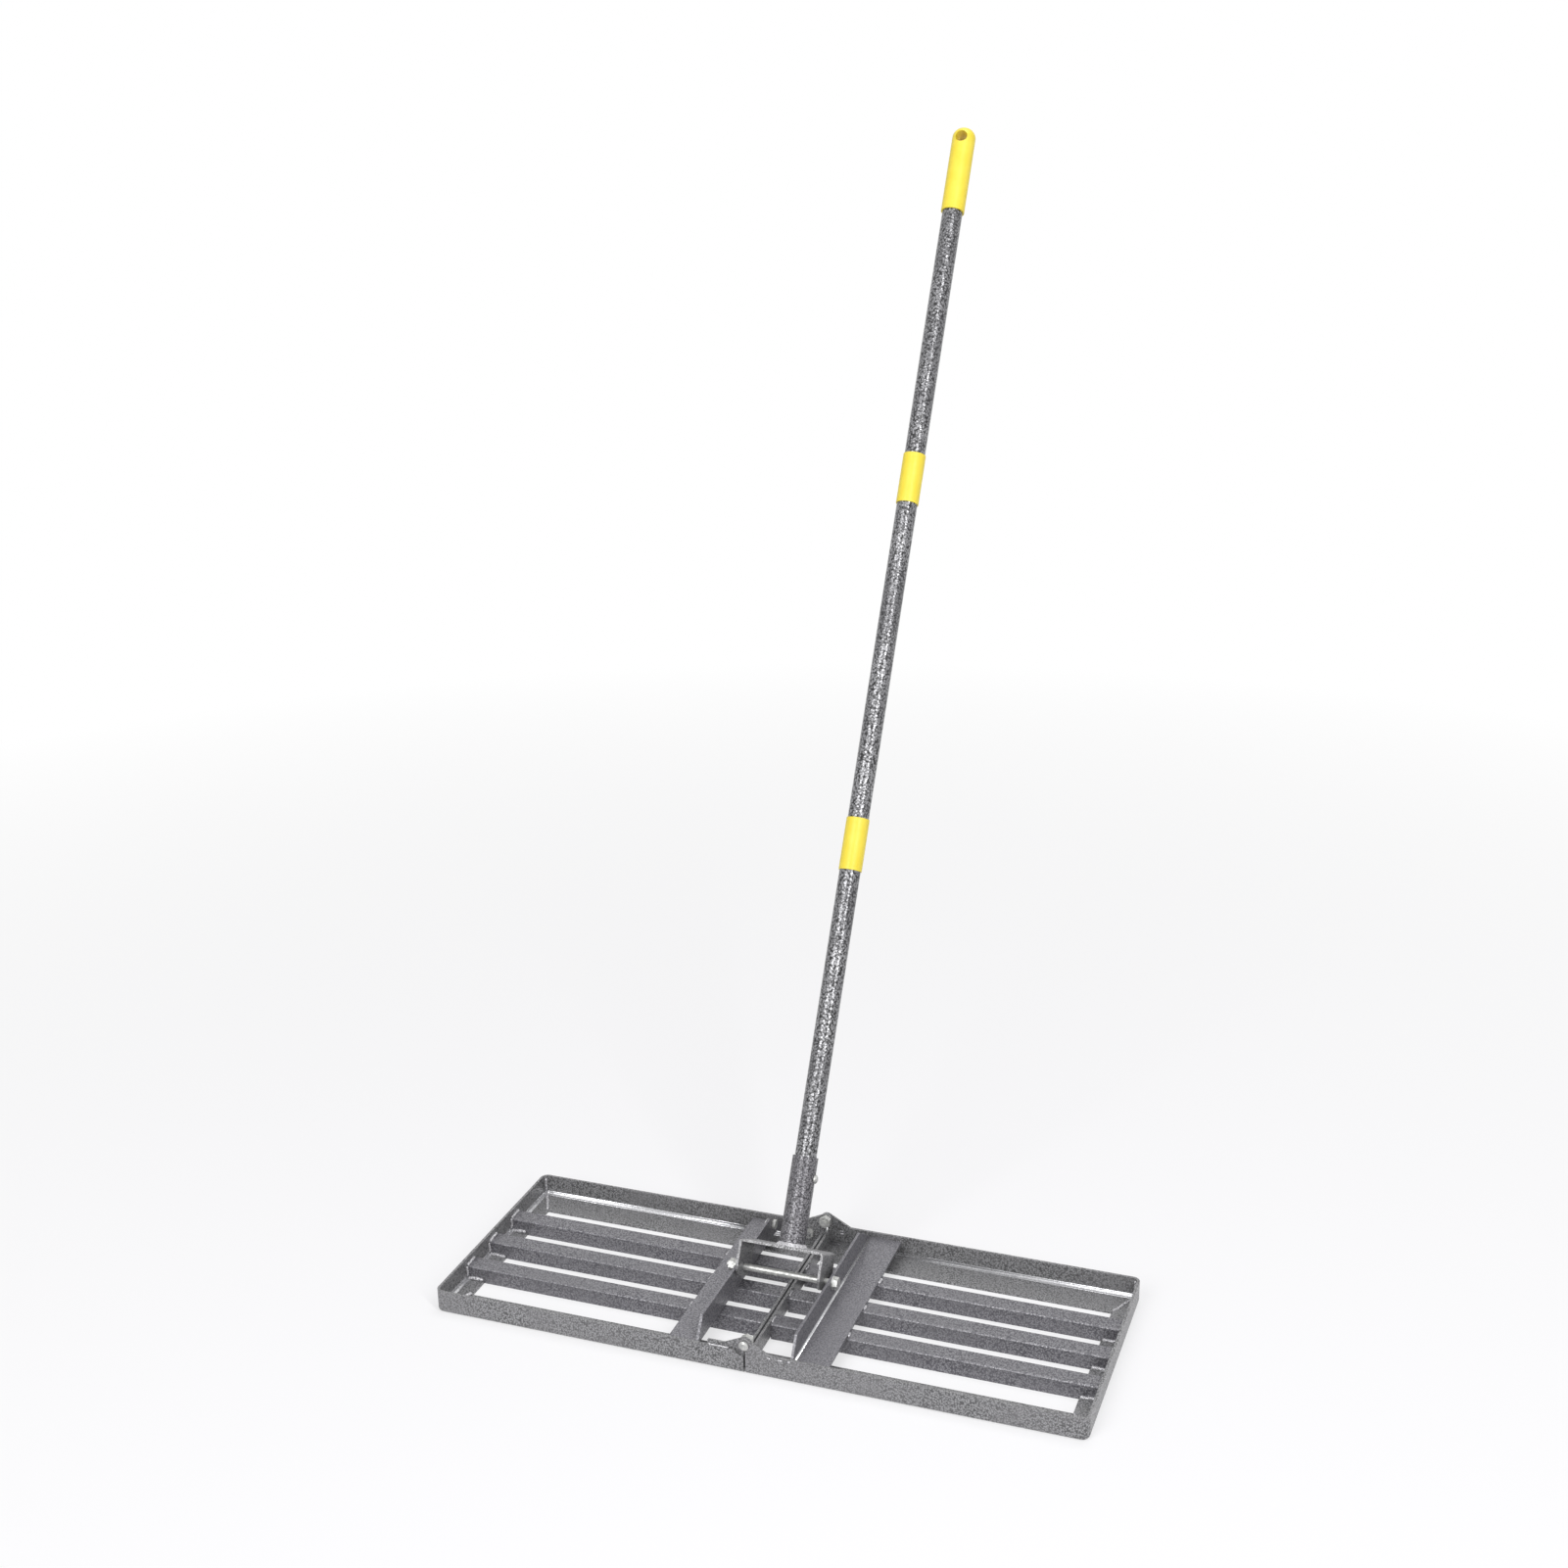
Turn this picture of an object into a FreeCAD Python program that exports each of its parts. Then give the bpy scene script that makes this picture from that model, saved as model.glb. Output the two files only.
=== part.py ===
import FreeCAD, Part
import os
import math
import Sketcher

# Folding levelling rake: a split ground frame on a centre hinge, a clevis yoke on one long bolt and a
# three-piece pole. X runs along the frame, Y from the working front to the back, Z up from the ground.

os.makedirs("parts", exist_ok=True)
doc = FreeCAD.newDocument("levelling_rake")
V = FreeCAD.Vector

# ---------------------------------------------------------------- named sizes, millimetres and degrees
sheet = doc.addObject("Spreadsheet::Sheet", "Sizes")
row = 0


def size(alias, value, note):
    global row
    row = row + 1
    sheet.set("A" + str(row), note)
    sheet.set("B" + str(row), str(value))
    sheet.setAlias("B" + str(row), alias)


size("frame_length", 762, "overall length of the two halves")
size("frame_depth", 284, "front to back over the walls")
size("rim_height", 28, "height of the outer walls")
size("steel", 3, "frame, bracket and yoke plate thickness")
size("corner_radius", 9, "outer corner radius of each half")
size("angle_bend", 5, "outer radius of the bend from wall to flange")
size("end_flange", 25, "width of the bottom flange at the ends")
size("side_flange", 41, "width of the bottom flange front and back")
size("split_half", 1.2, "half the gap between the halves")
size("ear_clear", 0.2, "hinge ear round end above the rim")
size("ear_radius", 7.5, "radius of the hinge ears round the pivot")
size("ear_foot", 30, "how far the ear runs down onto the rim")
size("swing_gap", 7, "gap cut in the left wall round the ear")
size("leaf_length", 44, "length of the hinge leaf bolted inside")
size("leaf_rise", 4.5, "leaf edge above the rim")
size("hinge_pin", 4, "radius of the hinge bolt shank")
size("stud_radius", 3, "radius of the leaf studs")
size("stud_first", 21, "first leaf stud from the middle")
size("stud_second", 37, "second leaf stud from the middle")
size("stud_height", 15, "height of the leaf studs")
size("bar_top", 19, "height of the top of the cross bars")
size("bar_width", 21, "width of the flat side of a bar")
size("bar_steel", 2.5, "bar thickness")
size("bar_pitch", 56.8, "spacing of the bars")
size("bar_middle", -13.6, "front face of the middle bar")
size("web_top", 22, "height of the inner end plates")
size("bracket_top", 49, "height of the bracket walls")
size("bracket_right", 55, "outer face of the right bracket wall")
size("bracket_left", 59.8, "outer face of the left bracket wall")
size("bracket_out", 94, "outer edge of the bracket flanges")
size("front_slope", 17, "slope length at the front of a wall")
size("back_slope", 39, "slope length at the back of a wall")
size("bolt_height", 42, "height of the pole pivot bolt")
size("bolt_place", -2, "pole pivot bolt, front to back")
size("bolt_radius", 4, "radius of the pole pivot bolt")
size("bolt_play", 0.8, "radial play of the bolt in the left wall")
size("running", 0.05, "radial running clearance")
size("free_gap", 0.3, "clearance between separate bodies")
size("yoke_gap_left", 1.2, "yoke ear to the left bracket wall")
size("yoke_gap_right", 6, "yoke ear to the right bracket wall")
size("yoke_width", 48, "width of the yoke strip")
size("yoke_rise", 32, "top of the yoke above the bolt")
size("yoke_drop", 10, "yoke ears below the bolt")
size("yoke_round", 12, "corner radius of the yoke ears")
size("yoke_bend", 5, "outer bend radius of the yoke")
size("lean", 30, "lean of the pole from upright, degrees")
size("socket_gap", 0.3, "radial gap of the pole in its socket")
size("socket_wall", 2, "socket wall")
size("socket_length", 103, "socket length above the yoke")
size("tube_radius", 12.7, "outer radius of the pole tubes")
size("tube_wall", 1.2, "pole tube wall")
size("tube_length", 457, "length of the lower and middle tubes")
size("tube_seat", 15, "lower tube end above the yoke")
size("top_tube_length", 432, "length of the upper tube")
size("plug_length", 70, "length of the plugs at the joints")
size("plug_wall", 3, "wall of the plugs")
size("sleeve_length", 63, "length of the yellow sleeves")
size("sleeve_wall", 1.1, "wall of the yellow sleeves")
size("grip_length", 113, "length of the yellow grip")
size("grip_wall", 1.9, "wall of the yellow grip")
size("grip_end", 34, "solid end of the grip above the tube")
size("hang_radius", 7.5, "radius of the hang hole")
size("hang_below", 16, "hang hole below the grip tip")
size("head_across", 13, "bolt heads and nuts of the 8 mm bolts, across flats")
size("head_height", 5.3, "head height of the pole bolt")
size("nut_height", 6.5, "height of the 8 mm nuts")
size("hinge_across", 13, "hinge nuts across flats")
size("hinge_nut", 6.5, "height of the hinge nuts")
size("bolt_past", 2.6, "bolt ends past their nuts")
size("washer_radius", 8, "outer radius of the flat washers")
size("washer_steel", 1.6, "flat washer thickness")
size("lock_washer", 2, "spring washer thickness")
size("lock_radius", 6.8, "outer radius of the spring washer")
size("dome_radius", 5.6, "head radius of the hinge bolts")
size("dome_height", 3.3, "head height of the hinge bolts")
size("small_across", 10, "6 mm heads and nuts, across flats")
size("small_nut", 5, "height of the 6 mm heads and nuts")
size("wall_bolt_inset", 31, "bolt from the back end of the left bracket")
size("wall_stud_height", 37, "height of that bolt")
size("screw_place", 79, "socket screw above the yoke")
size("screw_head", 5, "head radius of the socket screw")
size("screw_rise", 3.2, "head height of the socket screw")
size("weld_leg", 4, "leg of the weld round the socket")
size("snug", 0.05, "radial clearance of pieces that are fixed together")
doc.recompute()

S = "Sizes."


def val(expression):
    return float(sheet.evalExpression(expression.replace("Sizes.", "")))


def plane(body, role):
    for feature in body.Origin.OriginFeatures:
        if feature.Role == role:
            return feature


def new_body(name):
    body = doc.addObject("PartDesign::Body", name)
    body.Label = name
    return body


def new_sketch(body, role, label, lift=None):
    sketch = body.newObject("Sketcher::SketchObject", label)
    sketch.AttachmentSupport = [(plane(body, role), "")]
    sketch.MapMode = "FlatFace"
    if lift:
        sketch.setExpression("AttachmentOffset.Base.z", lift)
    return sketch


def outline(sketch, corners):
    # a closed outline whose every corner is held to the named sizes
    spots = [V(val(c[0]), val(c[1]), 0) for c in corners]
    count = len(spots)
    first = sketch.GeometryCount
    for i in range(count):
        sketch.addGeometry(Part.LineSegment(spots[i], spots[(i + 1) % count]), False)
    for i in range(count):
        link = Sketcher.Constraint("Coincident", first + i, 2, first + (i + 1) % count, 1)
        sketch.addConstraint(link)
    for i in range(count):
        across, up = corners[i]
        for kind, text, here in (("DistanceX", across, spots[i].x), ("DistanceY", up, spots[i].y)):
            number = sketch.addConstraint(Sketcher.Constraint(kind, -1, 1, first + i, 1, here))
            sketch.setExpression("Constraints[" + str(number) + "]", text)


def ring(sketch, across, up, radius):
    centre = V(val(across), val(up), 0)
    g = sketch.addGeometry(Part.Circle(centre, V(0, 0, 1), val(radius)), False)
    number = sketch.addConstraint(Sketcher.Constraint("DistanceX", -1, 1, g, 3, centre.x))
    sketch.setExpression("Constraints[" + str(number) + "]", across)
    number = sketch.addConstraint(Sketcher.Constraint("DistanceY", -1, 1, g, 3, centre.y))
    sketch.setExpression("Constraints[" + str(number) + "]", up)
    number = sketch.addConstraint(Sketcher.Constraint("Radius", g, val(radius)))
    sketch.setExpression("Constraints[" + str(number) + "]", radius)


def pad(body, sketch, label, length, reverse=False):
    feature = body.newObject("PartDesign::Pad", label)
    feature.Profile = sketch
    feature.Reversed = reverse
    feature.setExpression("Length", length)
    return feature


def pocket(body, sketch, label, length=None, both=False, reverse=False):
    feature = body.newObject("PartDesign::Pocket", label)
    feature.Profile = sketch
    feature.Reversed = reverse
    if length:
        feature.setExpression("Length", length)
    else:
        feature.Type = 1
        feature.Midplane = both
    return feature


def edges_where(feature, test):
    names = []
    for i, edge in enumerate(feature.Shape.Edges):
        ends = [v.Point for v in edge.Vertexes]
        if len(ends) == 2 and test(ends[0], ends[1]):
            names.append("Edge" + str(i + 1))
    return names


def fillet(body, feature, label, radius, test):
    doc.recompute()
    names = edges_where(feature, test)
    if not names:
        raise RuntimeError("no edge for " + label)
    rounded = body.newObject("PartDesign::Fillet", label)
    rounded.Base = (feature, names)
    rounded.setExpression("Radius", radius)
    return rounded


def near(a, b):
    return abs(a - b) < 0.01


# XZ sketches have their normal along -Y, so the sketch's up is Z and its offset is counted backwards
half_x = S + "frame_length / 2"
half_y = S + "frame_depth / 2"
HINGE = "(" + S + "rim_height + " + S + "ear_radius + " + S + "ear_clear)"
above = "(" + S + "ear_radius + " + S + "ear_clear)"
tangent = "(acos(" + S + "ear_radius / sqrt(pow(" + S + "ear_foot; 2) + pow(" + above + "; 2)))"
tangent = tangent + " - atan(" + above + " / " + S + "ear_foot))"
tan_x = S + "ear_radius * cos(" + tangent + ")"
tan_z = HINGE + " + " + S + "ear_radius * sin(" + tangent + ")"
yoke_left = "(" + S + "bracket_left - " + S + "steel - " + S + "yoke_gap_left)"
yoke_right = "(" + S + "bracket_right - " + S + "steel - " + S + "yoke_gap_right)"
socket_out = "(" + S + "tube_radius + " + S + "socket_gap + " + S + "socket_wall)"
wall_bolt_y = "(" + half_y + " - " + S + "steel * 2 - " + S + "wall_bolt_inset)"


# ---------------------------------------------------------------- the two half frames
def half_frame(name, side):
    sign = "" if side > 0 else "-"
    body = new_body(name)
    inner = sign + S + "split_half"
    outer = sign + "(" + half_x + ")"
    block = new_sketch(body, "XY_Plane", name + "_block")
    outline(block, [(inner, "-" + half_y), (outer, "-" + half_y), (outer, half_y), (inner, half_y)])
    solid = pad(body, block, name + "_solid", S + "rim_height")
    far = val(outer)

    def upright(a, b):
        return near(a.x, far) and near(b.x, far) and near(a.y, b.y) and not near(a.z, b.z)

    solid = fillet(body, solid, name + "_corners", S + "corner_radius", upright)
    split = val(inner)

    def underneath(a, b):
        return near(a.z, 0) and near(b.z, 0) and not (near(a.x, split) and near(b.x, split))

    fillet(body, solid, name + "_bend", S + "angle_bend", underneath)
    tray = new_sketch(body, "XY_Plane", name + "_tray", S + "rim_height")
    wall_x = sign + "(" + half_x + " - " + S + "steel)"
    wall_y = "(" + half_y + " - " + S + "steel)"
    past = sign + "(" + S + "split_half - 5)"
    outline(tray, [(past, "-" + wall_y), (wall_x, "-" + wall_y), (wall_x, wall_y), (past, wall_y)])
    hollow = pocket(body, tray, name + "_hollow", S + "rim_height - " + S + "steel")
    wall = val(wall_x)

    def inside(a, b):
        return near(a.x, wall) and near(b.x, wall) and near(a.y, b.y) and not near(a.z, b.z)

    hollow = fillet(body, hollow, name + "_inner_corners", S + "corner_radius - " + S + "steel", inside)
    window = new_sketch(body, "XY_Plane", name + "_window", S + "steel")
    lip_x = sign + "(" + half_x + " - " + S + "end_flange)"
    lip_y = "(" + half_y + " - " + S + "side_flange)"
    outline(window, [(past, "-" + lip_y), (lip_x, "-" + lip_y), (lip_x, lip_y), (past, lip_y)])
    pocket(body, window, name + "_opening")
    for place, end in (("front", "-"), ("back", "")):
        lift = S + "frame_depth / 2" if end == "-" else "-" + S + "frame_depth / 2"
        flip = end == "-"
        if side > 0:
            ear = new_sketch(body, "XZ_Plane", name + "_" + place + "_ear", lift)
            low = S + "rim_height - " + S + "steel"
            corners = [(inner, low), (S + "ear_foot", low), (S + "ear_foot", S + "rim_height")]
            corners = corners + [(tan_x, tan_z), (inner, HINGE)]
            outline(ear, corners)
            pad(body, ear, name + "_" + place + "_ear_plate", S + "steel - " + S + "free_gap", flip)
            eye = new_sketch(body, "XZ_Plane", name + "_" + place + "_eye", lift)
            ring(eye, "0", HINGE, S + "ear_radius")
            pad(body, eye, name + "_" + place + "_eye_plate", S + "steel - " + S + "free_gap", flip)
            bore = new_sketch(body, "XZ_Plane", name + "_" + place + "_bore", lift)
            ring(bore, "0", HINGE, S + "hinge_pin + " + S + "running")
            pocket(body, bore, name + "_" + place + "_pin_hole", S + "steel", reverse=not flip)
        else:
            swing = new_sketch(body, "XZ_Plane", name + "_" + place + "_swing", lift)
            ring(swing, "0", HINGE, S + "ear_radius + " + S + "swing_gap")
            pocket(body, swing, name + "_" + place + "_swing_cut", S + "steel", reverse=not flip)
            studs = new_sketch(body, "XZ_Plane", name + "_" + place + "_studs", lift)
            ring(studs, "-" + S + "stud_first", S + "stud_height", S + "stud_radius + " + S + "running")
            ring(studs, "-" + S + "stud_second", S + "stud_height", S + "stud_radius + " + S + "running")
            pocket(body, studs, name + "_" + place + "_stud_holes", S + "steel", reverse=not flip)
    return body


right_frame = half_frame("right_frame", 1)
left_frame = half_frame("left_frame", -1)


# ---------------------------------------------------------------- inner end plates either side of the split
def web(name, side):
    sign = "" if side > 0 else "-"
    body = new_body(name)
    base = new_sketch(body, "XY_Plane", name + "_base", S + "steel")
    near_x = sign + S + "split_half"
    far_x = sign + "(" + S + "split_half + " + S + "steel)"
    reach = "(" + half_y + " - " + S + "steel" + (")" if side > 0 else " * 2)")
    outline(base, [(near_x, "-" + reach), (far_x, "-" + reach), (far_x, reach), (near_x, reach)])
    pad(body, base, name + "_plate", S + "web_top - " + S + "steel")
    return body


web("right_end_plate", 1)
web("left_end_plate", -1)


# ---------------------------------------------------------------- six angle bars, three in each half
def bar(name, side, place):
    sign = "" if side > 0 else "-"
    body = new_body(name)
    front = "(" + S + "bar_middle + " + str(place) + " * " + S + "bar_pitch)"
    inner_end = sign + "(" + S + "split_half + " + S + "steel)"
    section = new_sketch(body, "YZ_Plane", name + "_section", inner_end)
    under = S + "bar_top - " + S + "bar_steel"
    back = front + " + " + S + "bar_width"
    behind = front + " + " + S + "bar_steel"
    corners = [(front, "0"), (behind, "0"), (behind, under)]
    corners = corners + [(back, under), (back, S + "bar_top"), (front, S + "bar_top")]
    outline(section, corners)
    run = half_x + " - " + S + "split_half - 2 * " + S + "steel"
    solid = pad(body, section, name + "_length", run, side < 0)
    y = val(front)
    top = val(S + "bar_top")

    def bend(a, b):
        return near(a.y, y) and near(b.y, y) and near(a.z, top) and near(b.z, top)

    fillet(body, solid, name + "_bend", S + "bar_steel * 0.9", bend)
    notch = new_sketch(body, "XZ_Plane", name + "_notch", "-(" + front + ")")
    lip = sign + "(" + half_x + " - " + S + "end_flange)"
    end = sign + half_x
    outline(notch, [(lip, "-1"), (end, "-1"), (end, S + "steel"), (lip, S + "steel")])
    pocket(body, notch, name + "_seat", S + "bar_steel")
    return body


for word, place in (("back", 1), ("middle", 0), ("front", -1)):
    bar("right_" + word + "_bar", 1, place)
    bar("left_" + word + "_bar", -1, place)


# ---------------------------------------------------------------- bracket angles that carry the pole bolt
def bracket(name, side):
    sign = "" if side > 0 else "-"
    body = new_body(name)
    face = S + ("bracket_right" if side > 0 else "bracket_left")
    reach = "(" + half_y + " - " + S + "steel)"
    if side < 0:
        reach = "(" + half_y + " - " + S + "steel * 2)"
    section = new_sketch(body, "XZ_Plane", name + "_section", "-" + reach)
    inner = sign + "(" + face + " - " + S + "steel)"
    outer = sign + face
    edge = sign + S + "bracket_out"
    floor = S + "bar_top"
    deck = S + "bar_top + " + S + "steel"
    corners = [(inner, floor), (edge, floor), (edge, deck), (outer, deck)]
    corners = corners + [(outer, S + "bracket_top"), (inner, S + "bracket_top")]
    outline(section, corners)
    solid = pad(body, section, name + "_angle", reach + " * 2")
    x = val(inner)
    z = val(floor)

    def bend(a, b):
        return near(a.x, x) and near(b.x, x) and near(a.z, z) and near(b.z, z)

    fillet(body, solid, name + "_bend", S + "steel * 0.9", bend)
    slopes = new_sketch(body, "YZ_Plane", name + "_slopes", sign + face)
    high = S + "bracket_top + 1"
    top = S + "bracket_top"
    start = "-" + reach + " + " + S + "front_slope"
    outline(slopes, [("-" + reach + " - 1", deck), ("-" + reach, deck), (start, top), (start, high),
                     ("-" + reach + " - 1", high)])
    stop = reach + " - " + S + "back_slope"
    outline(slopes, [(reach + " + 1", deck), (reach, deck), (stop, top), (stop, high),
                     (reach + " + 1", high)])
    pocket(body, slopes, name + "_slope_cuts", S + "steel", reverse=side < 0)
    hole = new_sketch(body, "YZ_Plane", name + "_hole", sign + face)
    play = S + ("running" if side > 0 else "bolt_play")
    ring(hole, S + "bolt_place", S + "bolt_height", S + "bolt_radius + " + play)
    pocket(body, hole, name + "_bolt_hole", S + "steel", reverse=side < 0)
    return body


bracket("right_bracket", 1)
bracket("left_bracket", -1)


# ---------------------------------------------------------------- hinge leaves inside the left half
def leaf(name, end):
    body = new_body(name)
    back = end > 0
    lift = "-(" + half_y + " - " + S + "steel)" if back else half_y + " - " + S + "steel"
    low = S + "steel"
    high = S + "rim_height + " + S + "leaf_rise"
    plate = new_sketch(body, "XZ_Plane", name + "_plate", lift)
    edge = "-" + S + "split_half"
    corners = [("-" + S + "leaf_length", low), (edge, low), (edge, HINGE), ("-" + tan_x, tan_z)]
    corners = corners + [("-" + S + "ear_foot + 6", high), ("-" + S + "leaf_length", high)]
    outline(plate, corners)
    pad(body, plate, name + "_strap", S + "steel", not back)
    eye = new_sketch(body, "XZ_Plane", name + "_eye", lift)
    ring(eye, "0", HINGE, S + "ear_radius")
    pad(body, eye, name + "_eye_plate", S + "steel", not back)
    bore = new_sketch(body, "XZ_Plane", name + "_bore", lift)
    ring(bore, "0", HINGE, S + "hinge_pin + " + S + "running")
    ring(bore, "-" + S + "stud_first", S + "stud_height", S + "stud_radius + " + S + "running")
    ring(bore, "-" + S + "stud_second", S + "stud_height", S + "stud_radius + " + S + "running")
    pocket(body, bore, name + "_holes", S + "steel", reverse=back)
    return body


leaf("front_hinge_leaf", -1)
leaf("back_hinge_leaf", 1)


# ---------------------------------------------------------------- round and six-sided pieces
def turned(name, corners):
    # a profile of radius and height, revolved about the upright axis of the piece
    body = new_body(name)
    profile = new_sketch(body, "XZ_Plane", name + "_profile")
    outline(profile, corners)
    spin = body.newObject("PartDesign::Revolution", name + "_spin")
    spin.Profile = profile
    spin.ReferenceAxis = (profile, ["V_Axis"])
    spin.Angle = 360
    return body, spin


def collar(name, inner, outer, low, high):
    return turned(name, [(inner, low), (outer, low), (outer, high), (inner, high)])


def six_sided(body, name, across, low, high):
    sketch = new_sketch(body, "XY_Plane", name + "_flats", low)
    corners = []
    for i in range(6):
        turn = str(30 + 60 * i) + " deg"
        spoke = across + " / 2 / cos(30 deg)"
        corners.append((spoke + " * cos(" + turn + ")", spoke + " * sin(" + turn + ")"))
    outline(sketch, corners)
    return pad(body, sketch, name + "_hex", high + " - (" + low + ")")


def nut(name, across, low, high, radius):
    body = new_body(name)
    six_sided(body, name, across, low, high)
    bore = new_sketch(body, "XY_Plane", name + "_bore", high)
    ring(bore, "0", "0", radius)
    pocket(body, bore, name + "_hole")
    return body


def along_x(body, y, z):
    # the piece's own upright axis is laid along the frame's length
    body.Placement = FreeCAD.Placement(V(0, 0, 0), FreeCAD.Rotation(V(0, 1, 0), 90))
    body.setExpression("Placement.Base.y", y)
    body.setExpression("Placement.Base.z", z)


def outward(body, end, x, z):
    # the piece's own upright axis points out of the back wall (end 1) or the front wall (end -1)
    body.Placement = FreeCAD.Placement(V(0, 0, 0), FreeCAD.Rotation(V(1, 0, 0), -90 * end))
    body.setExpression("Placement.Base.x", x)
    body.setExpression("Placement.Base.z", z)


def copies(name, members):
    group = doc.addObject("Part::Compound", name)
    group.Label = name
    group.Links = members
    return group


# ---------------------------------------------------------------- hinge bolts, nuts and leaf studs
groups = []
for word, end in (("front", -1), ("back", 1)):
    low = half_y + " - 2 * " + S + "steel - " + S + "free_gap - " + S + "hinge_nut"
    pin, spin = turned(word + "_hinge_bolt", [
        ("0", low + " - " + S + "bolt_past"), (S + "hinge_pin", low + " - " + S + "bolt_past"),
        (S + "hinge_pin", half_y), (S + "dome_radius", half_y),
        (S + "dome_radius", half_y + " + " + S + "dome_height / 2"),
        (S + "dome_radius * 0.6", half_y + " + " + S + "dome_height"),
        ("0", half_y + " + " + S + "dome_height")])
    outward(pin, end, "0", HINGE)
    grip_nut = nut(word + "_hinge_nut", S + "hinge_across", low, low + " + " + S + "hinge_nut",
                   S + "hinge_pin + " + S + "snug")
    outward(grip_nut, end, "0", HINGE)
    studs = []
    nuts = []
    face = half_y + " - 2 * " + S + "steel"
    for which in ("first", "second"):
        stud, spin = collar(word + "_leaf_stud_" + which, "0", S + "stud_radius",
                            face + " - " + S + "small_nut - 1.5", half_y)
        outward(stud, end, "-" + S + "stud_" + which, S + "stud_height")
        studs.append(stud)
        small = nut(word + "_leaf_nut_" + which, S + "small_across", face + " - " + S + "small_nut", face,
                    S + "stud_radius + " + S + "snug")
        outward(small, end, "-" + S + "stud_" + which, S + "stud_height")
        nuts.append(small)
    groups.append(copies(word + "_leaf_studs", studs))
    groups.append(copies(word + "_leaf_nuts", nuts))

# ---------------------------------------------------------------- bolt at the back of the left bracket wall
face = "-" + S + "bracket_left + " + S + "steel"
wall_bolt, spin = collar("left_bracket_bolt", "0", S + "stud_radius",
                         "-" + S + "bracket_left - " + S + "small_nut - 1.5", face)
six_sided(wall_bolt, "left_bracket_bolt", S + "small_across", face, face + " + " + S + "small_nut * 0.8")
along_x(wall_bolt, wall_bolt_y, S + "wall_stud_height")
wall_nut = nut("left_bracket_nut", S + "small_across", "-" + S + "bracket_left - " + S + "small_nut",
               "-" + S + "bracket_left", S + "stud_radius + " + S + "snug")
along_x(wall_nut, wall_bolt_y, S + "wall_stud_height")
left_bracket = doc.getObject("left_bracket")
hole = new_sketch(left_bracket, "YZ_Plane", "left_bracket_stud_hole", "-" + S + "bracket_left")
ring(hole, wall_bolt_y, S + "wall_stud_height", S + "stud_radius + " + S + "snug")
pocket(left_bracket, hole, "left_bracket_stud_cut", S + "steel", reverse=True)

# ---------------------------------------------------------------- pole pivot bolt with its washers and nut
left_face = "-" + S + "bracket_left - " + S + "free_gap"
washer_end = left_face + " - " + S + "washer_steel"
lock_end = washer_end + " - " + S + "lock_washer"
nut_end = lock_end + " - " + S + "nut_height"
head_start = S + "bracket_right + " + S + "washer_steel"
bolt, spin = collar("pivot_bolt", "0", S + "bolt_radius", nut_end + " - " + S + "bolt_past", head_start)
six_sided(bolt, "pivot_bolt", S + "head_across", head_start, head_start + " + " + S + "head_height")
washer, spin = collar("pivot_head_washer", S + "bolt_radius + " + S + "snug", S + "washer_radius",
                      S + "bracket_right", head_start)
flat, spin = collar("pivot_nut_washer", S + "bolt_radius + " + S + "snug", S + "washer_radius",
                    washer_end, left_face)
lock, spin = collar("pivot_spring_washer", S + "bolt_radius + " + S + "snug", S + "lock_radius",
                    lock_end, washer_end)
pivot_nut = nut("pivot_nut", S + "head_across", nut_end, lock_end, S + "bolt_radius + " + S + "snug")
for piece in (bolt, washer, flat, lock, pivot_nut):
    along_x(piece, S + "bolt_place", S + "bolt_height")


# ---------------------------------------------------------------- the pole, built upright and then leaned
def leaned(body):
    body.Placement = FreeCAD.Placement(V(0, 0, 0), FreeCAD.Rotation(V(-1, 0, 0), 30))
    body.setExpression("Placement.Base.y", S + "bolt_place")
    body.setExpression("Placement.Base.z", S + "bolt_height")
    body.setExpression("Placement.Rotation.Angle", S + "lean")


yoke = new_body("yoke")
bent = new_sketch(yoke, "XZ_Plane", "yoke_section", "-" + S + "yoke_width / 2")
left_in = "-" + yoke_left + " + " + S + "steel"
right_in = yoke_right + " - " + S + "steel"
under = S + "yoke_rise - " + S + "steel"
outline(bent, [("-" + yoke_left, "-" + S + "yoke_drop"), (left_in, "-" + S + "yoke_drop"), (left_in, under),
               (right_in, under), (right_in, "-" + S + "yoke_drop"), (yoke_right, "-" + S + "yoke_drop"),
               (yoke_right, S + "yoke_rise"), ("-" + yoke_left, S + "yoke_rise")])
strip = pad(yoke, bent, "yoke_strip", S + "yoke_width")
top = val(S + "yoke_rise")
strip = fillet(yoke, strip, "yoke_bends", S + "yoke_bend", lambda a, b: near(a.z, top) and near(b.z, top)
               and near(a.x, b.x))
low = val("-" + S + "yoke_drop")
strip = fillet(yoke, strip, "yoke_rounds", S + "yoke_round", lambda a, b: near(a.z, low) and near(b.z, low)
               and near(a.y, b.y))
hole = new_sketch(yoke, "YZ_Plane", "yoke_hole", "-" + yoke_left + " - 1")
ring(hole, "0", "0", S + "bolt_radius + " + S + "running")
pocket(yoke, hole, "yoke_bolt_holes", reverse=True)
leaned(yoke)

start = S + "yoke_rise"
screw_at = start + " + " + S + "screw_place"


def screw_hole(body, name, radius):
    sketch = new_sketch(body, "YZ_Plane", name + "_screw_hole")
    ring(sketch, "0", screw_at, radius)
    pocket(body, sketch, name + "_screw_cut", socket_out + " * 2", reverse=True)


socket, spin = collar("pole_socket", S + "tube_radius + " + S + "socket_gap", socket_out,
                      start, start + " + " + S + "socket_length")
screw_hole(socket, "pole_socket", S + "stud_radius + " + S + "snug")
leaned(socket)

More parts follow.
